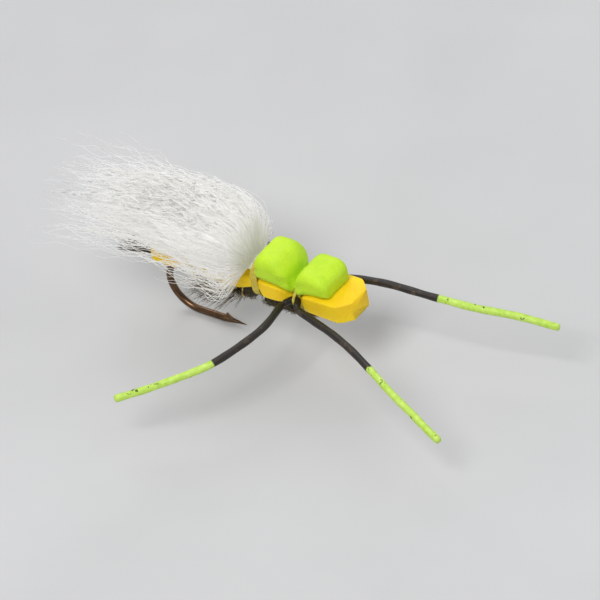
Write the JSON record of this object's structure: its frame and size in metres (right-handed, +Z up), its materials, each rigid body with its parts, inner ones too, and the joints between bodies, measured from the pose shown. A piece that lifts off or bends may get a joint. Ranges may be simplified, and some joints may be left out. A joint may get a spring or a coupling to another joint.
{
  "type": "dry fly",
  "caption": "Floating dry fly for fly fishing: pinched foam back and indicator, swept white fibre wing, rubber legs and a dubbed, hackled body on a long-shank hook.",
  "frame": {"origin": "centre of the hook's eye", "axes": "+X ahead of the head along the shank, +Y to the fly's left, +Z up, away from the hook point; the eye's hole runs along Z"},
  "size_m": [0.0652, 0.034, 0.0188],
  "materials": {
    "hook_wire": "bronzed, satin",
    "dark_thread": "waxed thread, matte",
    "yellow_thread": "waxed thread, satin",
    "varnish": "gloss",
    "dubbing": "spun fur, matte",
    "rib_metal": "satin",
    "hackle": "barred feather, satin",
    "yellow_foam": "closed-cell foam, matte",
    "chartreuse_foam": "closed-cell foam, matte",
    "wing_yarn": "crinkled synthetic fibre, satin",
    "tail_hair": "speckled hair, satin",
    "dark_rubber": "matte",
    "tip_rubber": "matte"
  },
  "bodies": {
    "fly": {"hook": "hook_wire", "thread_base": "dark_thread", "head_thread": "yellow_thread", "head_cement": "varnish", "thorax_dubbing": "dubbing", "abdomen_dubbing": "dubbing", "rib_wire": "rib_metal", "hackle_quill": "hackle", "hackle_barbs": "hackle", "under_foam": "yellow_foam", "indicator_foam": "chartreuse_foam", "waist_thread": "yellow_thread", "leg_thread": "yellow_thread", "wing_thread": "yellow_thread", "rear_thread": "yellow_thread", "wing_butts": "wing_yarn", "tail_butts": "tail_hair", "left_leg_middle": "dark_rubber", "right_leg_middle": "dark_rubber"},
    "wing": {"wing_fibres": "wing_yarn"},
    "tail": {"tail_fibres": "tail_hair"},
    "left_front_leg": {"left_front_leg": "dark_rubber"},
    "left_front_leg_tip": {"left_front_leg_tip": "tip_rubber"},
    "right_front_leg": {"right_front_leg": "dark_rubber"},
    "right_front_leg_tip": {"right_front_leg_tip": "tip_rubber"},
    "left_rear_leg": {"left_rear_leg": "dark_rubber"},
    "left_rear_leg_tip": {"left_rear_leg_tip": "tip_rubber"},
    "right_rear_leg": {"right_rear_leg": "dark_rubber"},
    "right_rear_leg_tip": {"right_rear_leg_tip": "tip_rubber"}
  },
  "joints": [
    {"name": "wing_lift", "type": "hinge", "parent": "fly", "child": "wing", "pos_m": [-0.01145, 0, 0.00365], "axis": [0, 1, 0], "range_deg": [-2.5, 25], "stiffness_Nm_per_rad": 0.0006},
    {"name": "tail_lift", "type": "hinge", "parent": "fly", "child": "tail", "pos_m": [-0.0222, 0, 0.00064], "axis": [0, 1, 0], "range_deg": [-15, 3], "stiffness_Nm_per_rad": 0.00005},
    {"name": "left_front_leg_swing", "type": "hinge", "parent": "fly", "child": "left_front_leg", "pos_m": [-0.00355, 0.00315, 0.00145], "axis": [0, 0, 1], "range_deg": [-1, 26], "stiffness_Nm_per_rad": 0.00002},
    {"name": "left_front_tip_bend", "type": "hinge", "parent": "left_front_leg", "child": "left_front_leg_tip", "pos_m": [0.01065, 0.00505, 0.00155], "axis": [0.2013, -0.9795, 0], "range_deg": [-30, 30], "stiffness_Nm_per_rad": 0.00001},
    {"name": "right_front_leg_swing", "type": "hinge", "parent": "fly", "child": "right_front_leg", "pos_m": [-0.00355, -0.00315, 0.00145], "axis": [0, 0, -1], "range_deg": [-6, 22], "stiffness_Nm_per_rad": 0.00002},
    {"name": "right_front_tip_bend", "type": "hinge", "parent": "right_front_leg", "child": "right_front_leg_tip", "pos_m": [0.00965, -0.00775, 0.00105], "axis": [-0.4138, -0.9104, 0], "range_deg": [-30, 30], "stiffness_Nm_per_rad": 0.00001},
    {"name": "left_rear_leg_swing", "type": "hinge", "parent": "fly", "child": "left_rear_leg", "pos_m": [-0.00545, 0.00315, 0.00145], "axis": [0, 0, 1], "range_deg": [-50, 1], "stiffness_Nm_per_rad": 0.00002},
    {"name": "left_rear_tip_bend", "type": "hinge", "parent": "left_rear_leg", "child": "left_rear_leg_tip", "pos_m": [-0.01625, 0.00625, 0.00065], "axis": [0.3478, 0.9376, 0], "range_deg": [-30, 30], "stiffness_Nm_per_rad": 0.00001},
    {"name": "right_rear_leg_swing", "type": "hinge", "parent": "fly", "child": "right_rear_leg", "pos_m": [-0.00545, -0.00315, 0.00145], "axis": [0, 0, -1], "range_deg": [-18, 35], "stiffness_Nm_per_rad": 0.00002},
    {"name": "right_rear_tip_bend", "type": "hinge", "parent": "right_rear_leg", "child": "right_rear_leg_tip", "pos_m": [-0.00705, -0.01475, 0.00115], "axis": [-0.7399, 0.6727, 0], "range_deg": [-30, 30], "stiffness_Nm_per_rad": 0.00001}
  ]
}
